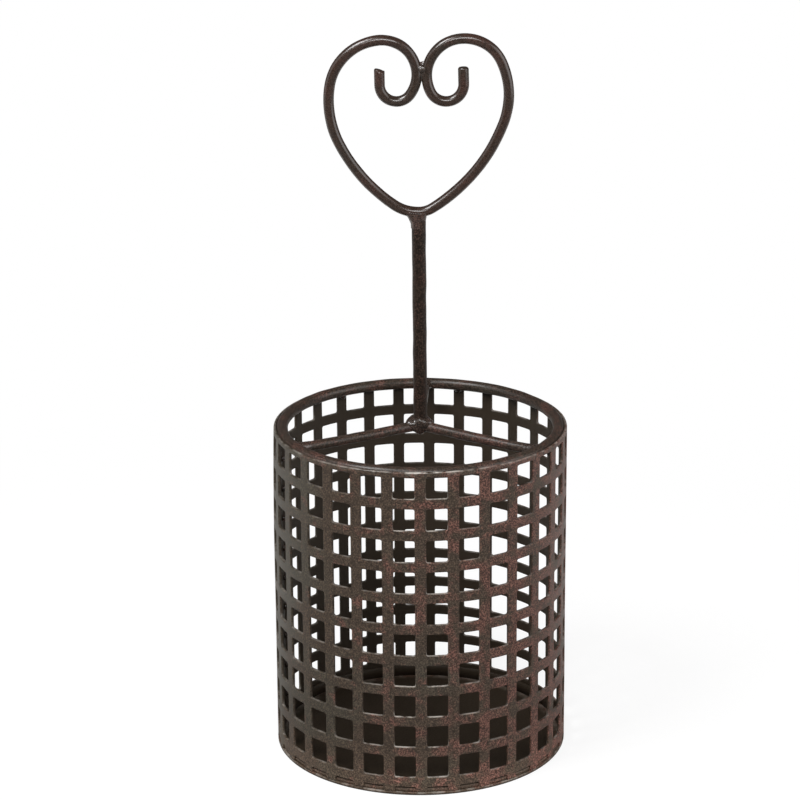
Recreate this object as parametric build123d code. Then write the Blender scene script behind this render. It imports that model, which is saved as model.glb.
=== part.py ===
from build123d import *
import math
import os

os.makedirs("parts", exist_ok=True)

# Frame: millimetres, +Z up, origin at the centre of the underside, front towards -Y
# Angles round the holder are measured from the front towards +X
outer_radius = 60.0
half_share = 0.5
quarter_turn = 90.0
full_turn = 360.0

# Base plate, and the hoop that stands on it inside the wall
plate_thickness = 1.3
plate_edge_radius = 0.4
hoop_thickness = 1.0
hoop_height = 4.6
hoop_clearance = 0.1

# Wall: one perforated sheet rolled into a tube, its top edge along the middle of a web
sheet_thickness = 1.2
sheet_top = 137.2
hole_pitch = 13.15
hole_width = 8.6
hole_height = 8.9
hole_corner_radius = 1.0
seam_angle = -104.9
seam_gap = 0.3
cut_margin = 1.0

# Rim ring: round wire inside the top of the wall, its top a little above the sheet's edge
ring_wire_radius = 2.3
ring_clearance = 0.05
ring_rise = 1.15

# Spokes: rods from the post to the ring, at the ring's height
spoke_radius = 2.05
spoke_angles = {"spoke_left": -63.0, "spoke_right": 58.0, "spoke_back": 177.0}

# Handle post
post_radius = 2.8

# Heart: one wire, bent alike on both sides of its tip, the two lobes almost touching
heart_wire_radius = 2.1
heart_tip_height = 225.7
lobe_gap = 0.1
tip_bend_radius = 12.0
arm_bend_radius = 65.7
side_bend_radius = 41.5
lobe_bend_radius = 14.0
scroll_bend_radius = 6.6
tip_turn = 31.0
arm_turn = 32.3
side_turn = 36.2
shoulder_turn = 91.6
lobe_turn = 111.4
tail_length = 6.6
tail_edge_radius = 0.4

# Weld metal: the legs are how far it stands out from what it joins
hub_weld_leg = 1.2
foot_weld_toe = 0.25
foot_weld_height = 6.5
foot_weld_half_width = 4.8
scroll_weld_radius = 2.5
scroll_weld_lift = 3.5
spoke_weld_leg = 0.9
spoke_weld_inset = 0.3
ring_tack_radius = 1.5
ring_tack_inset = 0.6
ring_tack_spacing = 4
seam_tack_radius = 1.4
seam_tack_inset = 0.3
hoop_tack_radius = 1.2
hoop_tack_inset = 0.3
hoop_tack_count = 6

# Derived sizes
inner_radius = outer_radius - sheet_thickness
cut_depth = sheet_thickness + 2 * cut_margin
hoop_radius = inner_radius - hoop_clearance
hoop_inner_radius = hoop_radius - hoop_thickness
ring_radius = inner_radius - ring_clearance - ring_wire_radius
ring_inner_radius = ring_radius - ring_wire_radius
ring_height = sheet_top + ring_rise - ring_wire_radius
hole_columns = int(2 * math.pi * outer_radius / hole_pitch)
hole_rows = math.ceil((sheet_top - plate_thickness) / hole_pitch)
column_step = math.degrees(hole_pitch / outer_radius)
columns_span = (hole_columns - 1) * column_step
first_column_angle = seam_angle + full_turn * half_share - columns_span * half_share
post_foot = ring_height - spoke_radius
post_top = heart_tip_height - heart_wire_radius


# Moves a shape that was made at the front round to an angle
def at_angle(angle, shape):
    return Rot(0, 0, angle) * shape


# A round drop of weld metal at a reach from the middle line, an angle and a height
def weld_drop(radius, reach, angle, height):
    return at_angle(angle, Pos(0, -reach, height) * Sphere(radius))


# A plain tube between two heights
def tube(outside, inside, bottom, top):
    section = Plane.XY.offset(bottom) * (Circle(outside) - Circle(inside))
    return extrude(section, amount=top - bottom)


# An upright rod on the middle line
def rod(radius, bottom, top):
    return extrude(Plane.XY.offset(bottom) * Circle(radius), amount=top - bottom)


# A cutter through the sheet at the front, from an outline drawn in the upright plane
def sheet_cutter(outline):
    return extrude(Plane.XZ.offset(inner_radius - cut_margin) * outline, amount=cut_depth)


# Base plate and hoop
base_plate = rod(outer_radius, 0, plate_thickness)
base_plate = fillet(base_plate.edges().group_by(Axis.Z)[0], plate_edge_radius)
base_hoop = tube(hoop_radius, hoop_inner_radius, plate_thickness, plate_thickness + hoop_height)

# Wall: the lowest row of holes runs out through the sheet's lower edge
plain_wall = tube(outer_radius, inner_radius, plate_thickness, sheet_top)
hole_cutter = sheet_cutter(RectangleRounded(hole_width, hole_height, hole_corner_radius))
seam_outline = Pos(0, sheet_top * half_share) * Rectangle(seam_gap, sheet_top + 2 * cut_margin)
row_heights = [sheet_top - (row + half_share) * hole_pitch for row in range(hole_rows)]
column_angles = [first_column_angle + column * column_step for column in range(hole_columns)]
wall_cutters = [at_angle(seam_angle, sheet_cutter(seam_outline))]
for angle in column_angles:
    for height in row_heights:
        wall_cutters.append(at_angle(angle, Pos(0, 0, height) * hole_cutter))
wall_sheet = plain_wall - wall_cutters

# Rim ring
rim_ring = Pos(0, 0, ring_height) * Torus(ring_radius, ring_wire_radius)

# Handle post, and spokes whose ends are shaped to the post and the ring
handle_post = rod(post_radius, post_foot, post_top)
spoke_blank = extrude(Plane.XZ * Pos(0, ring_height) * Circle(spoke_radius), amount=ring_radius)
spoke_rods = {name: at_angle(angle, spoke_blank) for name, angle in spoke_angles.items()}
spokes = {name: spoke_rod - handle_post - rim_ring for name, spoke_rod in spoke_rods.items()}

# Heart: the shoulder bend closes the gap between the lobes, the scroll bend turns the tail upright
arm_heading = tip_turn + arm_turn
side_heading = arm_heading + side_turn
shoulder_heading = side_heading + shoulder_turn
scroll_turn = full_turn + quarter_turn - shoulder_heading - lobe_turn
tip_sine, arm_sine, side_sine, shoulder_sine = [
    math.sin(math.radians(heading)) for heading in (tip_turn, arm_heading, side_heading, shoulder_heading)
]
side_reach = (
    tip_bend_radius * tip_sine
    + arm_bend_radius * (arm_sine - tip_sine)
    + side_bend_radius * (side_sine - arm_sine)
)
lobe_reach = heart_wire_radius + lobe_gap * half_share + lobe_bend_radius * (1 + shoulder_sine)
shoulder_bend_radius = (side_reach - lobe_reach) / (side_sine - shoulder_sine)
tip_bend = JernArc((0, heart_tip_height), (1, 0), tip_bend_radius, tip_turn)
arm_bend = JernArc(tip_bend @ 1, tip_bend % 1, arm_bend_radius, arm_turn)
side_bend = JernArc(arm_bend @ 1, arm_bend % 1, side_bend_radius, side_turn)
shoulder_bend = JernArc(side_bend @ 1, side_bend % 1, shoulder_bend_radius, shoulder_turn)
lobe_bend = JernArc(shoulder_bend @ 1, shoulder_bend % 1, lobe_bend_radius, lobe_turn)
scroll_bend = JernArc(lobe_bend @ 1, lobe_bend % 1, scroll_bend_radius, scroll_turn)
tail = Line(scroll_bend @ 1, (scroll_bend @ 1) + (scroll_bend % 1) * tail_length)
half_path = Plane.XZ * Wire([tip_bend, arm_bend, side_bend, shoulder_bend, lobe_bend, scroll_bend, tail])
half_heart = sweep(Plane(half_path @ 0, z_dir=half_path % 0) * Circle(heart_wire_radius), path=half_path)
half_heart = fillet(half_heart.faces().sort_by_distance(half_path @ 1)[0].edges(), tail_edge_radius)
heart_wire = half_heart + mirror(half_heart, about=Plane.YZ)

# Weld metal, shaped by the pieces that it joins
hub_weld_radius = post_radius + hub_weld_leg
hub_weld_cutters = [handle_post, *spoke_rods.values()]
hub_weld = weld_drop(hub_weld_radius, 0, 0, post_foot + hub_weld_radius) - hub_weld_cutters
foot_weld_radius = post_radius + foot_weld_toe
foot_weld_start = Plane.XY.offset(post_top - foot_weld_height) * Circle(foot_weld_radius)
foot_weld_end = Plane.XY.offset(heart_tip_height) * Ellipse(foot_weld_half_width, foot_weld_radius)
foot_weld = loft([foot_weld_start, foot_weld_end]) - handle_post - heart_wire
scroll_weld = weld_drop(scroll_weld_radius, 0, 0, lobe_bend.arc_center.Y + scroll_weld_lift) - heart_wire
spoke_welds = [
    weld_drop(spoke_radius + spoke_weld_leg, ring_inner_radius - spoke_weld_inset, angle, ring_height)
    - spoke_rods[name] - rim_ring
    for name, angle in spoke_angles.items()
]
web_angles = [angle + column_step * half_share for angle in column_angles[:-1:ring_tack_spacing]]
ring_tacks = [
    weld_drop(ring_tack_radius, inner_radius - ring_tack_inset, angle, ring_height - ring_wire_radius)
    - rim_ring - plain_wall
    for angle in web_angles
]
seam_tacks = [
    weld_drop(seam_tack_radius, inner_radius - seam_tack_inset, seam_angle, height) - plain_wall
    for height in row_heights[1:-1]
]
hoop_tacks = [
    weld_drop(hoop_tack_radius, hoop_inner_radius - hoop_tack_inset, angle, plate_thickness)
    - base_hoop - base_plate
    for angle in [count * full_turn / hoop_tack_count for count in range(hoop_tack_count)]
]

# Export, one file for each piece or group of equal pieces
nodes = {
    "base_plate": [base_plate],
    "base_hoop": [base_hoop],
    "wall_sheet": [wall_sheet],
    "rim_ring": [rim_ring],
    "spoke_left": [spokes["spoke_left"]],
    "spoke_right": [spokes["spoke_right"]],
    "spoke_back": [spokes["spoke_back"]],
    "handle_post": [handle_post],
    "heart_wire": [heart_wire],
    "hub_weld": [hub_weld],
    "foot_weld": [foot_weld],
    "scroll_weld": [scroll_weld],
    "spoke_welds": spoke_welds,
    "ring_tacks": ring_tacks,
    "seam_tacks": seam_tacks,
    "hoop_tacks": hoop_tacks,
}
for name, pieces in nodes.items():
    solids = [solid for piece in pieces for solid in piece.solids()]
    print(name, len(solids), round(sum(solid.volume for solid in solids), 1))
    export_step(Compound(label=name, children=solids), f"parts/{name}.step")
print("shoulder bend radius", round(shoulder_bend_radius, 2))
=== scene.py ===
import math

import bmesh
import bpy
import numpy as np
from mathutils import Matrix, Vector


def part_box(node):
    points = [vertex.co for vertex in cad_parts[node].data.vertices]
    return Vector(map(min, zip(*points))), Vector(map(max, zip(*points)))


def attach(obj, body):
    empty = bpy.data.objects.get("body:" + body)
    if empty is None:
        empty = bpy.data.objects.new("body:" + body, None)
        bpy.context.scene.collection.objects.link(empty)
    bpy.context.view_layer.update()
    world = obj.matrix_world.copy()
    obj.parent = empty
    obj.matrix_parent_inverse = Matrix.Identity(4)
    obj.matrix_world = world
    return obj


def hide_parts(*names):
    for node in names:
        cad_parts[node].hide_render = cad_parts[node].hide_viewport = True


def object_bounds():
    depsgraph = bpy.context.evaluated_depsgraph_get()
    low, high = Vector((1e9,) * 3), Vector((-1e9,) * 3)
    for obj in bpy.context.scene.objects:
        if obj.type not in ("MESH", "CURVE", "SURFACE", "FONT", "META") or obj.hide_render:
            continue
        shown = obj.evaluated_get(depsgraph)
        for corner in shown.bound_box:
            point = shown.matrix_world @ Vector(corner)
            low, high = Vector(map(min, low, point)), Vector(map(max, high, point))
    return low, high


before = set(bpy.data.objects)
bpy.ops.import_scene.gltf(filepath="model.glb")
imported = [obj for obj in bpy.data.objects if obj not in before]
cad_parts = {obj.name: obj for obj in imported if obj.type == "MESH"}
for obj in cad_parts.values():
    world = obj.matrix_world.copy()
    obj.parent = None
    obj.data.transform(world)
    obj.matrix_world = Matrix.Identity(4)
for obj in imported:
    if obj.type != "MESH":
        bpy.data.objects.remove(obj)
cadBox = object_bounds()
scene = bpy.context.scene
scene.view_settings.view_transform = "Standard"
mm = 0.001
wallLow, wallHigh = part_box("wall_sheet")
wallRadius, wallBottom, wallTop = wallHigh.x, wallLow.z, wallHigh.z
print("frame loaded:", len(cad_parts), "nodes")

mergeDistance = 0.002 * mm  # points of a piece that are nearer than this become one
sameDecimals = 9  # heights or angles that agree to so many decimals count as one
quarterTurn = np.radians(np.linspace(0, 90, 5))  # a quarter round in four steps
waveCount, wavePaces = 10, (0.7, 1.4)  # sines in one unevenness, and how far their paces spread


# Angles from 0 up to a full turn, in even steps
def roundTurn(steps):
    return np.linspace(0, 2 * np.pi, steps, endpoint=False)


# Quads between neighbouring rows and columns of a grid of points; each way may close on itself
def gridFaces(rows, columns, closeRows=False, closeColumns=False):
    row = np.arange(rows if closeRows else rows - 1)[:, None]
    column = np.arange(columns if closeColumns else columns - 1)[None, :]
    nextRow = (row + 1) % rows
    nextColumn = (column + 1) % columns
    corners = [(row, column), (row, nextColumn), (nextRow, nextColumn), (nextRow, column)]
    quads = np.broadcast_arrays(*[r * columns + c for r, c in corners])
    return np.stack(quads, -1).reshape(-1, 4)


# Smooth unevenness: sines along seeded directions, added up, about -1 to 1
def waves(points, wavelength, seed):
    random = np.random.default_rng(seed)
    directions = random.normal(size=(waveCount, 3))
    directions /= np.linalg.norm(directions, axis=1, keepdims=True)
    pace = 2 * np.pi / wavelength * random.uniform(*wavePaces, (waveCount, 1))
    phases = random.uniform(0, 2 * np.pi, waveCount)
    return np.sin(points @ (directions * pace).T + phases).sum(-1) / math.sqrt(waveCount)


# Several grids become one: points stacked, and each grid's faces counted on from the last
def joined(*shapes):
    starts = np.cumsum([0] + [len(points) for points, faces in shapes[:-1]])
    points = np.concatenate([points for points, faces in shapes])
    faces = [[int(corner) + int(start) for corner in face]
             for (_, group), start in zip(shapes, starts) for face in group]
    return points, faces


# Puts points and faces into a closed smooth mesh that stands for some nodes; marks are numbers for the paint
def makePiece(name, shape, material, slot, nodes, **marks):
    points, faces = shape
    mesh = bpy.data.meshes.new(name)
    mesh.from_pydata(np.asarray(points).reshape(-1, 3).tolist(), [], [list(map(int, f)) for f in faces])
    for mark, values in marks.items():
        layer = mesh.attributes.new(mark, "FLOAT", "POINT")
        layer.data.foreach_set("value", np.asarray(values, np.float32).ravel())
    work = bmesh.new()
    work.from_mesh(mesh)
    bmesh.ops.remove_doubles(work, verts=work.verts, dist=mergeDistance)
    bmesh.ops.recalc_face_normals(work, faces=work.faces)
    work.to_mesh(mesh)
    work.free()
    mesh.shade_smooth()
    mesh.materials.append(material)
    piece = bpy.data.objects.new(name, mesh)
    scene.collection.objects.link(piece)
    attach(piece, "root")
    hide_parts(*nodes)
    print("made", name, len(mesh.polygons), "faces")


# Gives an input another node's output, or a plain number or colour
def feed(material, socket, value):
    if hasattr(value, "links"):
        material.node_tree.links.new(value, socket)
    elif socket.type == "RGBA":
        socket.default_value = (*value, 1)
    else:
        socket.default_value = value


# Adds a node to a material or world, sets its fields and feeds its inputs
def addNode(material, kind, inputs=None, **fields):
    node = material.node_tree.nodes.new(kind)
    for key, value in fields.items():
        setattr(node, key, value)
    for key, value in (inputs or {}).items():
        feed(material, node.inputs[key], value)
    return node


# One step of arithmetic
def addMath(material, operation, *values, **fields):
    inputs = dict(enumerate(values))
    return addNode(material, "ShaderNodeMath", inputs, operation=operation, **fields).outputs[0]


# The largest of several values
def addLargest(material, largest, *others):
    for other in others:
        largest = addMath(material, "MAXIMUM", largest, other)
    return largest


# A value carried over from one span to another, and held at the ends
def addRange(material, value, fromSpan, toSpan=(0.0, 1.0), **fields):
    spans = dict(zip(("From Min", "From Max", "To Min", "To Max"), (*fromSpan, *toSpan)))
    return addNode(material, "ShaderNodeMapRange", {"Value": value, **spans}, **fields).outputs["Result"]


# A colour ramp with given positions and colours
def addRamp(material, value, positions, colours):
    ramp = addNode(material, "ShaderNodeValToRGB", {"Fac": value})
    elements = ramp.color_ramp.elements
    while len(elements) < len(positions):
        elements.new(0.5)
    for element, position, colour in zip(elements, positions, colours):
        element.position = position
        element.color = (*colour, 1)
    return ramp.outputs["Color"]


# Noise at a place, about 0.5 on average
def addNoise(material, place, scale, detail, roughness):
    inputs = {"Vector": place, "Scale": scale, "Detail": detail, "Roughness": roughness}
    return addNode(material, "ShaderNodeTexNoise", inputs).outputs["Fac"]


# One colour laid over another by a share; a Mix node's colours go in at 6 and 7 and come out at 2
def addMix(material, share, first, second, blend="MIX"):
    inputs = {0: share, 6: first, 7: second}
    return addNode(material, "ShaderNodeMix", inputs, data_type="RGBA", blend_type=blend).outputs[2]


# Antique brown paint: grains from dark through middle to light, in brown, reddish and olive areas
paintLook = {
    "sheet": {
        "brown": ((0.024, 0.0160, 0.0105), (0.052, 0.0350, 0.0232), (0.120, 0.0815, 0.0550)),
        "red": ((0.022, 0.0108, 0.0076), (0.092, 0.0430, 0.0315), (0.290, 0.1270, 0.0950)),
        "olive": ((0.026, 0.0205, 0.0138), (0.050, 0.0400, 0.0272), (0.104, 0.0830, 0.0570)),
        # The olive-grey lean to one side is partly the paint's tone and partly painted sheen; the paler
        # bottom is painted light bounced up from the floor
        "redToRight": 0.13, "oliveAndSheenToLeft": 0.10, "redMost": 0.9, "bounceLightBelow": 1.7,
        "roughness": (0.40, 0.58), "specular": 0.42, "bump": 0.35},
    # A paler copy of the sheet paint, used on the hoop and the plate: painted light on the hoop's face in the
    # shaded slots and on the plate's rim under the wall
    "hoop": {
        "brown": ((0.050, 0.0340, 0.0230), (0.100, 0.0690, 0.0480), (0.170, 0.1180, 0.0840)),
        "red": ((0.040, 0.0215, 0.0155), (0.140, 0.0760, 0.0540), (0.320, 0.1660, 0.1180)),
        "olive": ((0.055, 0.0455, 0.0310), (0.105, 0.0870, 0.0610), (0.170, 0.1410, 0.0990)),
        "redToRight": 0.05, "oliveAndSheenToLeft": 0.05, "redMost": 0.8, "bounceLightBelow": 1.0,
        "roughness": (0.40, 0.58), "specular": 0.30, "bump": 0.30},
    "ring": {
        "brown": ((0.011, 0.0075, 0.0055), (0.036, 0.0240, 0.0170), (0.100, 0.0650, 0.0480)),
        "red": ((0.011, 0.0060, 0.0045), (0.062, 0.0310, 0.0230), (0.200, 0.0980, 0.0740)),
        "olive": ((0.015, 0.0120, 0.0085), (0.042, 0.0330, 0.0235), (0.082, 0.0640, 0.0460)),
        # The olive-grey lean to the right is partly the paint's tone and partly painted sheen
        "redToRight": 0.0, "oliveAndSheenToLeft": -0.10, "redMost": 0.9, "bounceLightBelow": 1.0,
        "roughness": (0.30, 0.42), "specular": 0.5, "bump": 0.2},
    "heart": {
        "brown": ((0.022, 0.0120, 0.0080), (0.035, 0.0195, 0.0130), (0.050, 0.0285, 0.0195)),
        "red": ((0.030, 0.0140, 0.0098), (0.050, 0.0235, 0.0165), (0.072, 0.0345, 0.0245)),
        "olive": ((0.020, 0.0132, 0.0090), (0.031, 0.0210, 0.0142), (0.044, 0.0305, 0.0212)),
        "redToRight": 0.0, "oliveAndSheenToLeft": 0.0, "redMost": 0.9, "bounceLightBelow": 1.0,
        "roughness": (0.24, 0.29), "specular": 0.8, "bump": 0.01},
    "post": {
        "brown": ((0.009, 0.0060, 0.0043), (0.019, 0.0120, 0.0083), (0.062, 0.0385, 0.0280)),
        "red": ((0.010, 0.0060, 0.0043), (0.027, 0.0140, 0.0100), (0.088, 0.0450, 0.0330)),
        "olive": ((0.010, 0.0075, 0.0055), (0.020, 0.0142, 0.0100), (0.054, 0.0385, 0.0275)),
        "redToRight": 0.0, "oliveAndSheenToLeft": 0.0, "redMost": 0.9, "bounceLightBelow": 1.0,
        "roughness": (0.34, 0.48), "specular": 0.20, "bump": 0.12},
    "weld": {
        "brown": ((0.013, 0.0090, 0.0070), (0.036, 0.0235, 0.0172), (0.066, 0.0430, 0.0320)),
        "red": ((0.015, 0.0085, 0.0065), (0.054, 0.0280, 0.0208), (0.100, 0.0520, 0.0390)),
        "olive": ((0.016, 0.0120, 0.0090), (0.040, 0.0305, 0.0225), (0.074, 0.0570, 0.0425)),
        "redToRight": 0.0, "oliveAndSheenToLeft": 0.0, "redMost": 0.9, "bounceLightBelow": 1.0,
        "roughness": (0.22, 0.30), "specular": 0.9, "bump": 0.04},
}

# What the paints share: a dark tone painted on inner faces as their shade, a pale tone on rubbed edges that
# is partly wear and partly painted glint, noises, where on a noise each effect lies, and how high up the
# painted bounce light reaches
paintShared = {
    "insideShadeTone": (0.038, 0.0265, 0.0165), "bareAndGlint": (0.52, 0.48, 0.43), "bareAndGlintMost": 0.9, "edgeRoughness": 0.20,
    "noises": {"cloud": (30.0, 3.0, 0.55), "stain": (120.0, 4.0, 0.62), "grain": (1700.0, 2.0, 0.6),
               "fine": (2600.0, 1.0, 0.5), "wear": (260.0, 3.0, 0.6)},  # scale per metre, detail, roughness
    "grainStops": (0.34, 0.50, 0.66), "redStops": (0.48, 0.63), "oliveStops": (0.51, 0.65),
    "wearSpan": (0.42, 0.62), "roughSpan": (0.3, 0.7), "bounceLightTo": 20 * mm, "bumpDepth": 0.08 * mm,
}


# Brown grains, turned red where a noise that leans to one side is high, and olive-grey where another such
# noise is high, the olive-grey partly the paint's tone and partly painted sheen;
# paler low on the sheet as painted light bounced up from the floor; inner faces get one dark tone as painted
# shade, and rubbed edges a pale smooth one that is partly wear and partly painted glint;
# roughness follows the grains, and bump a finer noise
def paintMaterial(name, look):
    material = bpy.data.materials.new(name)
    material.use_nodes = True
    place = addNode(material, "ShaderNodeTexCoord").outputs["Object"]
    split = addNode(material, "ShaderNodeSeparateXYZ", {0: place}).outputs
    noise = {use: addNoise(material, place, *values) for use, values in paintShared["noises"].items()}
    inside, rub = [addNode(material, "ShaderNodeAttribute", attribute_name=mark).outputs["Fac"]
                   for mark in ("inside", "rub")]
    tones = {mood: addRamp(material, noise["grain"], paintShared["grainStops"], look[mood])
             for mood in ("brown", "red", "olive")}
    # The olive lean is partly the paint's tone and partly painted sheen on that side
    redLean, oliveAndSheenLean = [addMath(material, "MULTIPLY_ADD", split["X"], lean / wallRadius, noise[use])
                          for use, lean in (("stain", look["redToRight"]), ("cloud", -look["oliveAndSheenToLeft"]))]
    redShare = addRamp(material, redLean, paintShared["redStops"], ((0, 0, 0), (look["redMost"],) * 3))
    oliveAndSheenShare = addRamp(material, oliveAndSheenLean, paintShared["oliveStops"], ((0, 0, 0), (1, 1, 1)))
    colour = addMix(material, oliveAndSheenShare, tones["brown"], tones["olive"])
    colour = addMix(material, redShare, colour, tones["red"])
    # Painted light: paler towards the bottom, for light bounced up from the floor
    bounceLight = addRange(material, split["Z"], (0.0, paintShared["bounceLightTo"]), (look["bounceLightBelow"], 1.0))
    colour = addMix(material, 1.0, colour, bounceLight, "MULTIPLY")
    # Painted shade: inner faces take one dark tone
    colour = addMix(material, inside, colour, paintShared["insideShadeTone"])
    # Pale paint on edges, partly rubbed metal and partly painted glint
    wear = addRange(material, noise["wear"], paintShared["wearSpan"], (0.0, paintShared["bareAndGlintMost"]))
    bareAndGlintShare = addMath(material, "MULTIPLY", rub, wear, use_clamp=True)
    colour = addMix(material, bareAndGlintShare, colour, paintShared["bareAndGlint"])
    roughness = addRange(material, noise["grain"], paintShared["roughSpan"], look["roughness"])
    roughness = addRange(material, rub, (0.0, 1.0), (roughness, paintShared["edgeRoughness"]))
    bumps = {"Strength": look["bump"], "Distance": paintShared["bumpDepth"], "Height": noise["fine"]}
    normal = addNode(material, "ShaderNodeBump", bumps).outputs["Normal"]
    finish = {"Base Color": colour, "Roughness": roughness, "Normal": normal,
              "Specular IOR Level": look["specular"]}
    for key, value in finish.items():
        feed(material, material.node_tree.nodes["Principled BSDF"].inputs[key], value)
    return material


paints = {use: paintMaterial(use + "Paint", look) for use, look in paintLook.items()}
print("paints mixed")

# Wall sheet: a grid of cells with a hole in each, rolled into a tube; rub values, which paint both wear and
# glints, run from a cell's outer border, through its hole, to its inner border, and from the outside to the
# inside of the top edge;
# angles are in degrees
wallLook = {"columns": 28, "rows": 11, "pitch": 13.15 * mm, "holeWidth": 8.6 * mm, "holeHeight": 8.9 * mm,
            "cornerRadius": 0.7 * mm, "thickness": 1.2 * mm, "edgeRound": 0.30 * mm, "edgeFlat": 0.12 * mm,
            "seamAngle": -104.9, "seamGap": 0.3 * mm, "topRound": 0.5 * mm, "innerShare": 0.4,
            "inwardWave": 0.12 * mm, "waveLength": 70 * mm, "waveSeed": 5,
            "pressIn": 0.8 * mm, "pressAngle": -82.0, "pressWidth": 38.0, "pressFrom": 70 * mm,
            # Pale edge paint on the cells' rings and sides, on the top edge's section and in a bell round the
            # front: partly wear and partly painted glint
            "rubRings": (0, 0, 0.1, 0.6, 1.2, 1.3, 0.8, 0.2, 0, 0), "rubSides": 0.02, "sillPower": 4,
            "rubTop": (0.3, 1.2, 1.5, 1.1, 0.8, 0.6, 0.4, 0.2), "rubFront": 16.0, "rubAway": 0.3}
borderShares = np.array([0, 0.28, 0.56, 0.78, 1.0])  # places along half a cell's side
roundShare = 1 - math.sqrt(0.5)  # how far a quarter round's middle stands in from its corner
topTurn = np.radians([0, 30, 60, 90])  # steps of the top edge's rounding
halfPitch = wallLook["pitch"] / 2
columnStep = wallLook["pitch"] / wallRadius
firstColumn = math.radians(wallLook["seamAngle"]) + math.pi - (wallLook["columns"] - 1) * columnStep / 2
columnAngles = firstColumn + columnStep * np.arange(wallLook["columns"])
rowHeights = wallTop - wallLook["pitch"] * (np.arange(wallLook["rows"]) + 0.5)
lowestEdge = wallBottom - rowHeights[-1]  # the sheet's lower edge, from the middle of the lowest row
wallShoulder = wallTop - wallLook["topRound"]  # where the rounded top edge begins
seamGapAngle = wallLook["seamGap"] / wallRadius
seamStrip = math.pi - wallLook["columns"] * columnStep / 2 - seamGapAngle / 2  # plain strip beside the seam


# An angle in radians becomes degrees within half a turn of zero
def wrapped(angle):
    return np.degrees(np.angle(np.exp(1j * angle)))


# A quarter of a rounded hole grown by a margin: up its right side, round the corner, towards the top's middle
def holeQuarter(growth, low):
    halfWidth = wallLook["holeWidth"] / 2 + growth
    halfHeight = wallLook["holeHeight"] / 2 + growth
    corner = wallLook["cornerRadius"] + growth
    side = [(halfWidth, low), (halfWidth, (low + halfHeight - corner) / 2)]
    arc = np.stack([halfWidth - corner + corner * np.cos(quarterTurn),
                    halfHeight - corner + corner * np.sin(quarterTurn)], -1)
    return np.concatenate([side, arc, [((halfWidth - corner) / 2, halfHeight)]])


# As many points on the cell's border: up the right side to its corner, then towards the top's middle
def borderQuarter(low):
    up = low + borderShares * (halfPitch - low)
    back = borderShares[-2:0:-1] * halfPitch
    right = np.stack([np.full(len(up), halfPitch), up], -1)
    return np.concatenate([right, np.stack([back, np.full(len(back), halfPitch)], -1)])


# A quarter and its mirror image make the upper half; the upper half turned round makes the lower
def wholeOutline(quarter, top, closed):
    mirrored = quarter[::-1] * [-1, 1]
    if not closed:
        return np.concatenate([quarter, [(0, top)], mirrored])
    upper = np.concatenate([quarter, [(0, top)], mirrored[:-1]])
    return np.concatenate([upper, -upper])


# A cell's sheet from the outer border in to the hole, through it, and out to the inner border; it is whole,
# or open below and starting at the sheet's lower edge
def cellProfile(low=0.0, closed=True):
    thick, edge, flat = (wallLook[key] for key in ("thickness", "edgeRound", "edgeFlat"))
    border = wholeOutline(borderQuarter(low), halfPitch, closed)
    growths = [edge + flat, edge, roundShare * edge, 0]
    depths = [0, 0, 0, roundShare * edge, edge]
    holes = [wholeOutline(holeQuarter(g, low), wallLook["holeHeight"] / 2 + g, closed) for g in growths]
    rings = np.array([border, *holes, *holes[::-1], border])
    depth = np.array(depths + [thick - d for d in depths[::-1]])[:, None]
    return rings[..., 0], rings[..., 1], np.broadcast_to(depth, rings.shape[:2])


# How far the mouth is pressed in: a bell curve round an angle, fading downwards
def pressedIn(angle, height):
    turned = wrapped(angle - math.radians(wallLook["pressAngle"])) / wallLook["pressWidth"]
    fade = np.clip((height - wallLook["pressFrom"]) / (wallTop - wallLook["pressFrom"]), 0, 1)
    return wallLook["pressIn"] * np.exp(-turned ** 2) * fade ** 2


# Angle round the holder, height and depth under the outer face become a point of the slightly uneven tube
def onWall(angle, height, depth):
    angle, height, depth = np.broadcast_arrays(angle, height, depth)
    circle = np.stack([wallRadius * np.sin(angle), -wallRadius * np.cos(angle), height], -1)
    inward = wallLook["inwardWave"] * (1 + waves(circle, wallLook["waveLength"], wallLook["waveSeed"])) / 2
    radius = wallRadius - depth - np.clip(inward, 0, None) - pressedIn(angle, height)
    return np.stack([radius * np.sin(angle), -radius * np.cos(angle), height], -1)


# How far a point belongs to the inside: 0 in the sheet's outer part, 1 on its inner face, which gets the dark
# tone of painted shade
def insideShadeShare(points):
    depth = wallRadius - np.hypot(points[:, 0], points[:, 1])
    depth = depth - pressedIn(np.arctan2(points[:, 0], -points[:, 1]), points[:, 2])
    start = wallLook["thickness"] * wallLook["innerShare"]
    return np.clip((depth - start) / start, 0, 1)


# How much of the rubbing and painted glint there is at an angle: a bell curve round the front, where the
# glints are painted, down to a share of it elsewhere
def frontGlintShare(angle):
    turned = wrapped(angle) / wallLook["rubFront"]
    return wallLook["rubAway"] + (1 - wallLook["rubAway"]) * np.exp(-turned ** 2)


# How far the rings of a cell get pale paint, partly rubbed off and partly a painted glint: most inside the
# hole, and nearly all of it on its sill
def holeRubAndGlint(up):
    sill = np.clip(-2 * up / wallLook["holeHeight"], 0, 1) ** wallLook["sillPower"]
    spread = wallLook["rubSides"] + (1 - wallLook["rubSides"]) * sill
    return np.array(wallLook["rubRings"])[:, None] * spread


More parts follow.
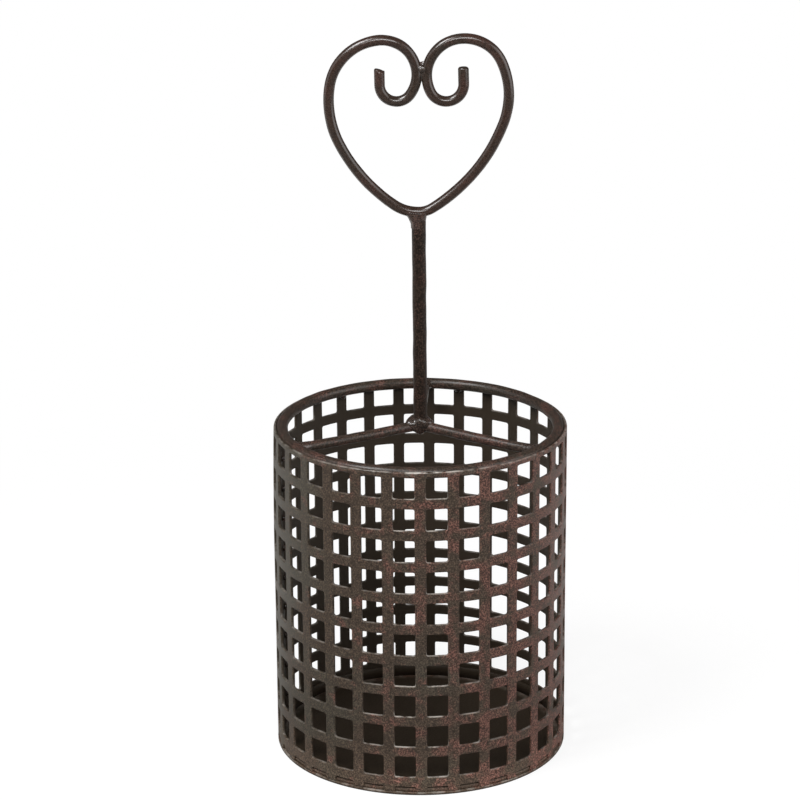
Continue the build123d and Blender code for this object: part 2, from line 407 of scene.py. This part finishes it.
# Whole cells: one profile at every column and at every row but the lowest
def wholeCells():
    across, up, depth = cellProfile()
    heights = np.minimum(rowHeights[:-1, None, None] + up, wallShoulder)
    cells = onWall(columnAngles[:, None, None, None] + across / wallRadius, heights, depth)
    starts = np.arange(cells.size // 3 // across.size)[:, None, None] * across.size
    faces = gridFaces(*across.shape, closeColumns=True) + starts
    rub = np.broadcast_to(frontGlintShare(columnAngles)[:, None, None, None] * holeRubAndGlint(up), cells.shape[:-1])
    return (cells.reshape(-1, 3), faces.reshape(-1, 4)), rub


# Lowest cells: open below, with one face across each leg where it stands on the plate
def lowestCells():
    across, up, depth = cellProfile(lowestEdge, closed=False)
    cells = onWall(columnAngles[:, None, None] + across / wallRadius, rowHeights[-1] + up, depth)
    rings, along = across.shape
    starts = np.arange(wallLook["columns"])[:, None, None] * across.size
    legs = np.arange(rings) * along + np.array([[0], [along - 1]])
    faces = [*(gridFaces(rings, along) + starts).reshape(-1, 4), *(legs + starts).reshape(-1, rings)]
    return (cells.reshape(-1, 3), faces), frontGlintShare(columnAngles)[:, None, None] * holeRubAndGlint(up)


# Plain strips from the outermost columns to the seam, with points at the heights of the cells' border points
def seamStrips():
    whole = rowHeights[:-1, None] + halfPitch * np.concatenate([-borderShares, borderShares])
    lowest = wallBottom + borderShares * (halfPitch - lowestEdge)
    heights = np.minimum(np.unique(np.append(whole, lowest).round(sameDecimals)), wallShoulder)
    depths = wallLook["thickness"] * np.array([0, 0, 1, 1])
    strips = []
    for hand, column in ((1, columnAngles[-1]), (-1, columnAngles[0])):
        angles = column + hand * (columnStep / 2 + seamStrip * np.array([0, 1, 1, 0]))
        strip = onWall(angles, heights[:, None], depths)
        strips.append((strip.reshape(-1, 3), [*gridFaces(len(heights), len(depths)), range(len(depths))]))
    return strips


# Top edge: a section with both corners rounded, carried from seam to seam over the cells' border points
def topEdge():
    angles = columnAngles[:, None] + columnStep / 2 * np.concatenate([-borderShares, borderShares])
    seamEdges = [columnAngles[0] - columnStep / 2 - seamStrip, columnAngles[-1] + columnStep / 2 + seamStrip]
    angles = np.unique(np.append(angles, seamEdges).round(sameDecimals))
    depths = wallLook["topRound"] * (1 - np.cos(topTurn))
    depths = np.concatenate([depths, wallLook["thickness"] - depths[::-1]])
    heights = wallTop - wallLook["topRound"] * (1 - np.sin(topTurn))
    heights = np.concatenate([heights, heights[::-1]])
    edge = onWall(angles[:, None], heights, depths)
    across = len(depths)
    ends = [range(across), range(across * (len(angles) - 1), across * len(angles))]
    faces = [*gridFaces(len(angles), across), *ends]
    return (edge.reshape(-1, 3), faces), frontGlintShare(angles)[:, None] * wallLook["rubTop"]


cellShape, cellRubAndGlint = wholeCells()
lowestShape, lowestRubAndGlint = lowestCells()
stripShapes = seamStrips()
stripRubAndGlint = np.zeros(sum(len(points) for points, faces in stripShapes))
edgeShape, edgeRubAndGlint = topEdge()
wallShape = joined(cellShape, lowestShape, *stripShapes, edgeShape)
wallRubAndGlint = np.concatenate([rub.ravel() for rub in (cellRubAndGlint, lowestRubAndGlint, stripRubAndGlint, edgeRubAndGlint)])
makePiece("perforatedWall", wallShape, paints["sheet"], "sheet_paint", ["wall_sheet"], rub=wallRubAndGlint,
          inside=insideShadeShare(wallShape[0]))

# Base plate with rounded rims, and the hoop that stands on it; inside values follow the hoop's profile
baseLook = {"edgeRound": 0.4 * mm, "topRound": 0.2 * mm, "hoopThickness": 1.0 * mm, "hoopRound": 0.2 * mm,
            "proudRadius": 59.3 * mm, "proudTo": 2.75 * mm, "stepTo": 3.0 * mm, "plateRings": (0.3, 0.6, 0.9),
            # Pale paint on the plate's rim is partly wear and partly painted glint; the hoop's inside values
            # paint shade on its inner faces
            "rimRubAndGlint": 0.5, "hoopInside": (0, 0, 0.3, 1, 1, 1, 1, 1, 1, 0), "around": 256}


# A profile of (radius, height) points turned round the middle line
def lathe(profile):
    profile = np.array(profile)
    angle = roundTurn(baseLook["around"])[:, None]
    points = np.stack(np.broadcast_arrays(profile[:, 0] * np.sin(angle), -profile[:, 0] * np.cos(angle),
                                          profile[:, 1]), -1)
    return points.reshape(-1, 3), gridFaces(baseLook["around"], len(profile), closeRows=True)


plateLow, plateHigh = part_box("base_plate")
bottomRound = np.stack([wallRadius - baseLook["edgeRound"] * (1 - np.sin(quarterTurn)),
                        plateLow.z + baseLook["edgeRound"] * (1 - np.cos(quarterTurn))], -1)
topRound = np.stack([wallRadius - baseLook["topRound"] * (1 - np.cos(quarterTurn)),
                     plateHigh.z - baseLook["topRound"] * (1 - np.sin(quarterTurn))], -1)
under = [(share * wallRadius, plateLow.z) for share in (0, *baseLook["plateRings"])]
over = [(share * wallRadius, plateHigh.z) for share in (*baseLook["plateRings"][::-1], 0)]
plateProfile = np.concatenate([under, bottomRound, topRound, over])
rimMarks = np.zeros(len(plateProfile))  # 1 on the upper rim, which shows under the wall
rimMarks[len(under) + len(bottomRound):-len(over)] = 1
# The plate's underside, floor and lower rim take the dark tone as painted shade; on the lower rim it is a
# painted contact shadow
makePiece("basePlate", lathe(plateProfile), paints["hoop"], "sheet_paint", ["base_plate"],
          inside=np.tile(1 - rimMarks, baseLook["around"]),
          rub=np.tile(baseLook["rimRubAndGlint"] * rimMarks, baseLook["around"]))
hoopLow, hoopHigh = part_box("base_hoop")
hoopOuter, hoopInner = hoopHigh.x, hoopHigh.x - baseLook["hoopThickness"]
hoopTop, hoopSoft = hoopHigh.z, baseLook["hoopRound"]
proud, proudTo = baseLook["proudRadius"], baseLook["proudTo"]
hoopProfile = [(proud, hoopLow.z), (proud, proudTo - hoopSoft), (proud - hoopSoft, proudTo),
               (hoopOuter, baseLook["stepTo"]), (hoopOuter, hoopTop - hoopSoft),
               (hoopOuter - hoopSoft, hoopTop), (hoopInner + hoopSoft, hoopTop),
               (hoopInner, hoopTop - hoopSoft), (hoopInner, hoopLow.z), (proud, hoopLow.z)]
# The hoop takes the paler paint as painted light on its face behind the slots, and the dark tone on its inner
# faces as painted shade
makePiece("baseHoop", lathe(hoopProfile), paints["hoop"], "sheet_paint", ["base_hoop"],
          inside=np.tile(baseLook["hoopInside"], baseLook["around"]))

# Wires: what the spokes, the post and the heart share
wireLook = {"sides": 24, "dentLength": 9 * mm, "endRound": 0.4 * mm}
squareEnds = ((0, 0, 0), (0, 0, 0))


# A round section carried along a path: each ring lies across the path's direction, and the ends are rounded
# over and may be cut aslant, further out by a slope times the place along a direction
def wireTube(path, radius, side, dent, seed, endRound=wireLook["endRound"], slants=squareEnds):
    path = np.asarray(path, float)
    ahead = np.gradient(path, axis=0)
    ahead /= np.linalg.norm(ahead, axis=1, keepdims=True)
    side = np.asarray(side, float) - (ahead @ np.asarray(side, float))[:, None] * ahead
    side /= np.linalg.norm(side, axis=1, keepdims=True)
    over = np.cross(ahead, side)
    turn = roundTurn(wireLook["sides"])[:, None]
    ring = side[:, None] * np.cos(turn) + over[:, None] * np.sin(turn)
    bulge = 1 + dent * waves(path[:, None] + ring * radius, wireLook["dentLength"], seed)
    body = path[:, None] + ring * radius * bulge[..., None]
    bend = quarterTurn[1:, None, None]
    caps = []
    for end, hand, slant in ((0, -1, slants[0]), (-1, 1, slants[1])):
        across = ring[end] * (radius - endRound * (1 - np.cos(bend)))
        further = endRound * (np.sin(bend) - 1) + (across @ np.asarray(slant, float))[..., None]
        cap = path[end] + ahead[end] * hand * further + across
        centre = np.broadcast_to(path[end], (1, *cap.shape[1:]))
        caps.append(np.concatenate([cap, centre]))
    points = np.concatenate([caps[0][::-1], body[1:-1], caps[1]])
    return points.reshape(-1, 3), gridFaces(*points.shape[:2], closeColumns=True)


# Rim ring: a torus whose wire is a little uneven, and a little higher at the back
ringLook = {"around": 300, "sides": 24, "backRise": 0.4 * mm,
            "dent": 0.015, "dentLength": 10 * mm, "seed": 21}
ringLow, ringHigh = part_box("rim_ring")
ringWire = (ringHigh.z - ringLow.z) / 2
ringHeight = (ringHigh.z + ringLow.z) / 2
ringRadius = ringHigh.x - ringWire
ringAngle = roundTurn(ringLook["around"])[:, None]
ringTurn = roundTurn(ringLook["sides"])[None, :, None]
outward = np.stack([np.sin(ringAngle), -np.cos(ringAngle), 0 * ringAngle], -1)
section = outward * np.cos(ringTurn) + np.array([0, 0, 1]) * np.sin(ringTurn)
ringReach = ringRadius - pressedIn(ringAngle, ringHeight)
ringMiddle = outward * ringReach[..., None] + np.array([0, 0, ringHeight])
ringMiddle[..., 2] += ringLook["backRise"] * (1 - np.cos(ringAngle)) / 2
ringDents = waves(ringMiddle + section * ringWire, ringLook["dentLength"], ringLook["seed"])
ringPoints = ringMiddle + section * (ringWire * (1 + ringLook["dent"] * ringDents))[..., None]
ringFaces = gridFaces(ringLook["around"], ringLook["sides"], closeRows=True, closeColumns=True)
makePiece("rimRing", (ringPoints.reshape(-1, 3), ringFaces), paints["ring"], "wire_paint", ["rim_ring"])

# Spokes: rods from the post to the middle of the ring's wire, highest at the post and falling outwards
spokeLook = {"rings": 60, "dent": 0.02, "seed": 31, "bow": 0.25 * mm, "hubRise": 0.6 * mm,
             "falls": {"spoke_left": 1.2 * mm, "spoke_right": 1.5 * mm, "spoke_back": 0.3 * mm}}
spokeAngles, spokeRadii = {}, {}
for node in spokeLook["falls"]:
    spokeLow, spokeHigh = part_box(node)
    middle = (spokeLow + spokeHigh) / 2
    spokeAngles[node] = math.atan2(middle.x, -middle.y)
    spokeRadii[node] = (spokeHigh.z - spokeLow.z) / 2


# A spoke's middle line at some reaches from the post: a straight fall and a slight sag
def spokeLine(node, reach):
    angle, share = spokeAngles[node], reach / ringRadius
    rise = spokeLook["hubRise"] - spokeLook["falls"][node] * share - spokeLook["bow"] * np.sin(np.pi * share)
    return np.stack([reach * math.sin(angle), -reach * math.cos(angle), ringHeight + rise], -1)


for order, node in enumerate(spokeAngles):
    spokePath = spokeLine(node, np.linspace(0, ringRadius, spokeLook["rings"]))
    rod = wireTube(spokePath, spokeRadii[node], (0, 0, 1), spokeLook["dent"], spokeLook["seed"] + order)
    makePiece("spoke" + node.removeprefix("spoke_").capitalize(), rod, paints["ring"], "wire_paint", [node])

# Handle post, leaning a little: how far its foot and its top stand to the right
postLook = {"rings": 120, "dent": 0.02, "seed": 41, "footRight": 0.5 * mm, "topRight": 0.25 * mm}
postLow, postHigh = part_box("handle_post")
postRadius = (postHigh.x - postLow.x) / 2
postHeights = np.linspace(postLow.z, postHigh.z, postLook["rings"])
postSideways = np.linspace(postLook["footRight"], postLook["topRight"], postLook["rings"])
postPath = np.stack([postSideways, 0 * postHeights, postHeights], -1)
makePiece("handlePost", wireTube(postPath, postRadius, (1, 0, 0), postLook["dent"], postLook["seed"]),
          paints["post"], "wire_paint", ["handle_post"])

# Heart: each half is a chain of bends (radius in mm, turn in degrees) from the tip to the scroll, then a tail
heartLook = {
    "right": [(10.7, 31.5), (68.0, 38.0), (32.0, 44.3), (16.0, 76.5), (14.5, 107.2), (6.8, 154.0)],
    "left": [(16.4, 34.8), (65.9, 29.4), (37.8, 35.4), (21.5, 75.1), (13.6, 131.5), (6.6, 143.2)],
    "rightTail": 6.7 * mm, "leftTail": 6.2 * mm, "leftSlant": (-0.32, 0, 0), "endRound": 0.9 * mm,
    "dent": 0.018, "seed": 51, "degreesPerRing": 2.5, "fewestRings": 8, "tailRings": 10,
}


# Follows the bends: each centre stands to the left of the heading, and the heading turns evenly round it
def bentWire(bends, tail, start):
    place, heading, runs = np.array(start), 0.0, []
    for radius, turn in bends:
        rings = max(heartLook["fewestRings"], int(turn / heartLook["degreesPerRing"]))
        headings = heading + np.radians(np.linspace(0, turn, rings))
        centre = place + radius * mm * np.array([-math.sin(heading), math.cos(heading)])
        run = centre + radius * mm * np.stack([np.sin(headings), -np.cos(headings)], -1)
        runs.append(run[:-1])
        place, heading = run[-1], headings[-1]
    ahead = np.array([math.cos(heading), math.sin(heading)])
    runs.append(place + np.linspace(0, tail, heartLook["tailRings"])[:, None] * ahead)
    return np.concatenate(runs)


heartLow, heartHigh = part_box("heart_wire")
heartWire = (heartHigh.y - heartLow.y) / 2
heartTip = (0.0, heartLow.z + heartWire)
rightHalf = bentWire(heartLook["right"], heartLook["rightTail"], heartTip)
leftHalf = bentWire(heartLook["left"], heartLook["leftTail"], heartTip) * [-1, 1]
heartLine = np.concatenate([leftHalf[:0:-1], rightHalf])
heartPath = np.stack([heartLine[:, 0], 0 * heartLine[:, 0], heartLine[:, 1]], -1)
heartTube = wireTube(heartPath, heartWire, (0, 1, 0), heartLook["dent"], heartLook["seed"],
                     heartLook["endRound"], (heartLook["leftSlant"], squareEnds[1]))
makePiece("heartWire", heartTube, paints["heart"], "wire_paint", ["heart_wire"])

# Weld metal: a lumpy drop at the hub, a web with a drop between the lobes, and flares at the heart's foot and
# the spokes' ends; bumps are (direction, height, width), grids are (rows, columns), and a drop's wave is
# measured on directions of length 1
weldLook = {
    "hub": {"radii": (5.2 * mm, 4.6 * mm, 3.4 * mm), "lift": 1.3 * mm, "rough": 0.10, "seed": 61,
            "bumps": [((-0.9, -0.8, 0.2), 1.3 * mm, 0.07), ((0.0, -1.0, 0.75), 1.5 * mm, 0.09),
                      ((0.9, -0.7, 0.35), 1.3 * mm, 0.06), ((-0.5, 0.9, 0.3), 0.6 * mm, 0.10),
                      ((0.6, 0.8, 0.2), 0.5 * mm, 0.08), ((0.2, -0.6, -1.0), 0.8 * mm, 0.10)]},
    "web": {"centre": (1.7 * mm, 0, 282.0 * mm), "gap": 1.7 * mm, "height": 3.9 * mm, "depth": 1.4 * mm,
            "flare": (0.9 * mm, 0.3 * mm), "rough": 0.06, "seed": 62},
    "drop": {"centre": (1.7 * mm, 0, 283.2 * mm), "radii": (3.1 * mm, 2.15 * mm, 2.0 * mm),
             "rough": 0.03, "seed": 63},
    "foot": {"length": 6.5 * mm, "reach": (7.4 * mm, 3.9 * mm), "deep": 2.45 * mm, "bend": 14.0 * mm,
             "rough": 0.05, "seed": 64},
    "end": {"length": 5.0 * mm, "reach": (4.6 * mm, 4.2 * mm), "deep": 2.45 * mm, "rough": 0.07, "seed": 65},
    "sleeveShare": 1.03, "dropWave": 1.3, "flareWave": 3.2 * mm, "webWave": 3.0 * mm,
    "dropGrid": (40, 64), "flareGrid": (30, 56), "webGrid": (25, 56),
}


# A lumpy drop: distance from its centre, by direction, is an ellipsoid's plus round bumps and small waves
def lumpyDrop(look, centre):
    rows, columns = weldLook["dropGrid"]
    polar = np.linspace(0, np.pi, rows)[:, None]
    turn = roundTurn(columns)[None, :]
    ways = np.stack(np.broadcast_arrays(np.sin(polar) * np.cos(turn), np.sin(polar) * np.sin(turn),
                                        np.cos(polar)), -1)
    reach = 1 / np.linalg.norm(ways / np.asarray(look["radii"]), axis=-1)
    for way, height, width in look.get("bumps", []):
        way = np.asarray(way, float) / np.linalg.norm(way)
        reach = reach + height * np.exp((ways @ way - 1) / width)
    reach = reach * (1 + look["rough"] * waves(ways, weldLook["dropWave"], look["seed"]))
    points = np.asarray(centre) + ways * reach[..., None]
    return points.reshape(-1, 3), gridFaces(rows, columns, closeColumns=True)


# Weld metal drawn out from a rod to a wire that it meets: going ahead, its half width to each hand grows with
# the cube of the way and its half depth with the square, and its end bends with the wire
def weldFlare(look, foot, ahead, side, length, rodRadius, bend, seed):
    rows, columns = weldLook["flareGrid"]
    start = rodRadius * weldLook["sleeveShare"]
    foot, ahead, side = (np.asarray(vector, float) for vector in (foot, ahead, side))
    over = np.cross(ahead, side)
    way = np.linspace(0, 1, rows)[:, None]
    turn = roundTurn(columns)[None, :]
    toLeft, toRight = look["reach"]
    widest = (toRight + toLeft) / 2 + (toRight - toLeft) / 2 * np.cos(turn)
    across = (start + (widest - start) * way ** 3) * np.cos(turn)
    deepness = (start + (look["deep"] - start) * way ** 2) * np.sin(turn)
    forward = way * (length + across ** 2 / (2 * bend))
    along = ahead * forward[..., None]
    sheath = side * across[..., None] + over * deepness[..., None]
    lumps = 1 + look["rough"] * way * (1 + waves(sheath + along, weldLook["flareWave"], seed))
    sheath = foot + along + sheath * lumps[..., None]
    first = np.broadcast_to(foot, (1, columns, 3))
    last = np.broadcast_to(foot + ahead * length, (1, columns, 3))
    points = np.concatenate([first, sheath, last])
    return points.reshape(-1, 3), gridFaces(*points.shape[:2], closeColumns=True)


# Weld metal between two wires side by side: upright ovals across the gap, taller and deeper at both wires
def weldWeb(look):
    rows, columns = weldLook["webGrid"]
    gap, (tallFlare, deepFlare) = look["gap"], look["flare"]
    share = np.linspace(-1, 1, rows)[:, None]
    turn = roundTurn(columns)[None, :]
    tall = look["height"] + tallFlare * share ** 2
    deep = look["depth"] + deepFlare * share ** 2
    oval = np.stack(np.broadcast_arrays(gap * share, deep * np.sin(turn), tall * np.cos(turn)), -1)
    oval = oval * (1 + look["rough"] * waves(oval, weldLook["webWave"], look["seed"]))[..., None]
    ends = np.broadcast_to(np.array([[[-gap, 0, 0]], [[gap, 0, 0]]]), (2, columns, 3))
    points = np.asarray(look["centre"]) + np.concatenate([ends[:1], oval, ends[1:]])
    return points.reshape(-1, 3), gridFaces(*points.shape[:2], closeColumns=True)


hubCentre = (0, 0, ringHeight + weldLook["hub"]["lift"])
makePiece("hubWeld", lumpyDrop(weldLook["hub"], hubCentre), paints["weld"], "weld_paint", ["hub_weld"])
footLook = weldLook["foot"]
footPlace = (0, 0, heartTip[1] - footLook["length"])
footShape = weldFlare(footLook, footPlace, (0, 0, 1), (1, 0, 0), footLook["length"], postRadius,
                      footLook["bend"], footLook["seed"])
makePiece("footWeld", footShape, paints["weld"], "weld_paint", ["foot_weld"])
webShape = weldWeb(weldLook["web"])
webDrop = lumpyDrop(weldLook["drop"], weldLook["drop"]["centre"])
makePiece("scrollWeld", joined(webShape, webDrop), paints["weld"], "weld_paint", ["scroll_weld"])
endLook = weldLook["end"]
endShapes = []
for order, (node, angle) in enumerate(spokeAngles.items()):
    outwards, sideways = (math.sin(angle), -math.cos(angle), 0), (math.cos(angle), math.sin(angle), 0)
    endFoot = spokeLine(node, ringRadius - ringWire - endLook["length"])
    endShapes.append(weldFlare(endLook, endFoot, outwards, sideways, endLook["length"] + ringWire,
                               spokeRadii[node], -ringRadius, endLook["seed"] + order))
makePiece("spokeWelds", joined(*endShapes), paints["weld"], "weld_paint", ["spoke_welds"])
for node in ("ring_tacks", "seam_tacks", "hoop_tacks"):  # small enough to keep their CAD shape
    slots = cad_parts[node].data.materials
    slots.clear()
    slots.append(paints["weld"])
print("welds made")

# Floor: pale; seen near the holder it is white with a soft shadow, and further off it is plain white
floorLook = {"half": 8.0, "colour": (0.75, 0.75, 0.75), "seenColour": (0.20, 0.20, 0.20), "seenGlow": 0.85,
             "nearTo": 0.14, "farFrom": 0.45, "frontReflected": (0.2, 0.2, 0.2),
             "backReflected": (1.0, 1.0, 0.97), "frontTo": -0.05, "backFrom": 0.08}


# A flat square; its paper glows a little where it is seen, and reflections find it darker in front
def makeFloor():
    half = floorLook["half"]
    mesh = bpy.data.meshes.new("floor")
    corners = [(-half, -half, 0), (half, -half, 0), (half, half, 0), (-half, half, 0)]
    mesh.from_pydata(corners, [], [range(len(corners))])
    paper = bpy.data.materials.new("floorPaper")
    paper.use_nodes = True
    nodes = paper.node_tree.nodes
    nodes.remove(nodes["Principled BSDF"])
    rays = addNode(paper, "ShaderNodeLightPath").outputs
    place = addNode(paper, "ShaderNodeTexCoord").outputs["Object"]
    away = addNode(paper, "ShaderNodeVectorMath", {0: place}, operation="LENGTH").outputs["Value"]
    farShare = addRange(paper, away, (floorLook["nearTo"], floorLook["farFrom"]),
                        interpolation_type="SMOOTHSTEP")
    backwards = addNode(paper, "ShaderNodeSeparateXYZ", {0: place}).outputs["Y"]
    behind = addRange(paper, backwards, (floorLook["frontTo"], floorLook["backFrom"]))
    reflected = addMix(paper, behind, floorLook["frontReflected"], floorLook["backReflected"])
    tone = addMix(paper, rays["Is Glossy Ray"], floorLook["colour"], reflected)
    plain = addNode(paper, "ShaderNodeBsdfDiffuse", {"Color": tone}).outputs[0]
    shown = addNode(paper, "ShaderNodeBsdfDiffuse", {"Color": floorLook["seenColour"]}).outputs[0]
    glow = addNode(paper, "ShaderNodeEmission", {"Strength": floorLook["seenGlow"]}).outputs[0]
    white = addNode(paper, "ShaderNodeEmission", {"Strength": 1.0}).outputs[0]
    near = addNode(paper, "ShaderNodeAddShader", {0: shown, 1: glow}).outputs[0]
    whole = addNode(paper, "ShaderNodeMixShader", {0: farShare, 1: near, 2: white}).outputs[0]
    seen = addLargest(paper, rays["Is Camera Ray"], rays["Is Transmission Ray"])
    surface = addNode(paper, "ShaderNodeMixShader", {0: seen, 1: plain, 2: whole}).outputs[0]
    feed(paper, nodes["Material Output"].inputs["Surface"], surface)
    mesh.materials.append(paper)
    floor = bpy.data.objects.new("floor", mesh)
    scene.collection.objects.link(floor)


# Room: white wherever it is seen; reflections find it paler behind the holder than in front
worldLook = {"light": 0.15, "frontReflected": 0.06, "backReflected": 0.08, "frontTo": -0.7, "backFrom": 0.2}


# One white background whose strength depends on the kind of ray, and for reflections on the ray's direction
def makeWorld():
    world = bpy.data.worlds.new("whiteRoom")
    scene.world = world
    world.use_nodes = True
    rays = addNode(world, "ShaderNodeLightPath").outputs
    direction = addNode(world, "ShaderNodeTexCoord").outputs["Generated"]
    backwards = addNode(world, "ShaderNodeSeparateXYZ", {0: direction}).outputs["Y"]
    reflected = addRange(world, backwards, (worldLook["frontTo"], worldLook["backFrom"]),
                         (worldLook["frontReflected"], worldLook["backReflected"]))
    dull = addMath(world, "SUBTRACT", 1.0, rays["Is Glossy Ray"])
    strength = addLargest(world, addMath(world, "MULTIPLY", dull, worldLook["light"]),
                          rays["Is Camera Ray"], rays["Is Transmission Ray"],
                          addMath(world, "MULTIPLY", rays["Is Glossy Ray"], reflected))
    background = world.node_tree.nodes["Background"]
    feed(world, background.inputs["Color"], (1, 1, 1))
    feed(world, background.inputs["Strength"], strength)


# Soft boxes: place, width and height in metres, power in watts, aimed at the holder's middle
lampLook = {
    "keyBox": ((-0.65, -0.52, 1.26), (0.5, 0.5), 12.5),
    "frontBox": ((0.0, -1.20, 0.95), (0.6, 0.3), 7.0),
    "leftBox": ((-1.4, -0.1, 0.5), (1.2, 1.2), 3.5),
    "rightBox": ((1.4, -0.5, 0.6), (1.4, 1.4), 11.5),
}


# Each lamp is a rectangle that looks from its place towards the aim
def makeLamps():
    aim = (cadBox[0] + cadBox[1]) / 2
    for name, (place, (width, height), power) in lampLook.items():
        lamp = bpy.data.lights.new(name, "AREA")
        lamp.shape = "RECTANGLE"
        lamp.size, lamp.size_y = width, height
        lamp.energy = power
        holder = bpy.data.objects.new(name, lamp)
        holder.location = place
        holder.rotation_euler = (aim - holder.location).to_track_quat("-Z", "Y").to_euler()
        scene.collection.objects.link(holder)


# Camera: the photo's view, with its aim point, distance and tilts
cameraLook = {"aim": (-7.752 * mm, 0.0, 147.36 * mm), "distance": 1162.4 * mm, "elevation": 18.03,
              "roll": -0.445, "focalPixels": 2869.7, "framePixels": 800, "sensor": 36.0, "clip": (0.05, 40.0)}


# Stands back from the aim along its own view, which looks down by the elevation and is turned by the roll
def makeCamera():
    camera = bpy.data.cameras.new("camera")
    camera.sensor_width = cameraLook["sensor"]
    camera.lens = cameraLook["focalPixels"] / cameraLook["framePixels"] * cameraLook["sensor"]
    camera.clip_start, camera.clip_end = cameraLook["clip"]
    rise, roll = math.radians(cameraLook["elevation"]), math.radians(cameraLook["roll"])
    ahead = np.array([0, math.cos(rise), -math.sin(rise)])
    level, upright = np.array([1, 0, 0]), np.array([0, math.sin(rise), math.cos(rise)])
    right = math.cos(roll) * level + math.sin(roll) * upright
    up = -math.sin(roll) * level + math.cos(roll) * upright
    matrix = np.eye(4)
    matrix[:3, :3] = np.stack([right, up, -ahead], -1)
    matrix[:3, 3] = np.array(cameraLook["aim"]) - cameraLook["distance"] * ahead
    holder = bpy.data.objects.new("camera", camera)
    holder.matrix_world = Matrix(matrix.tolist())
    scene.collection.objects.link(holder)
    scene.camera = holder


makeFloor()
makeWorld()
makeLamps()
makeCamera()
print("stage set")
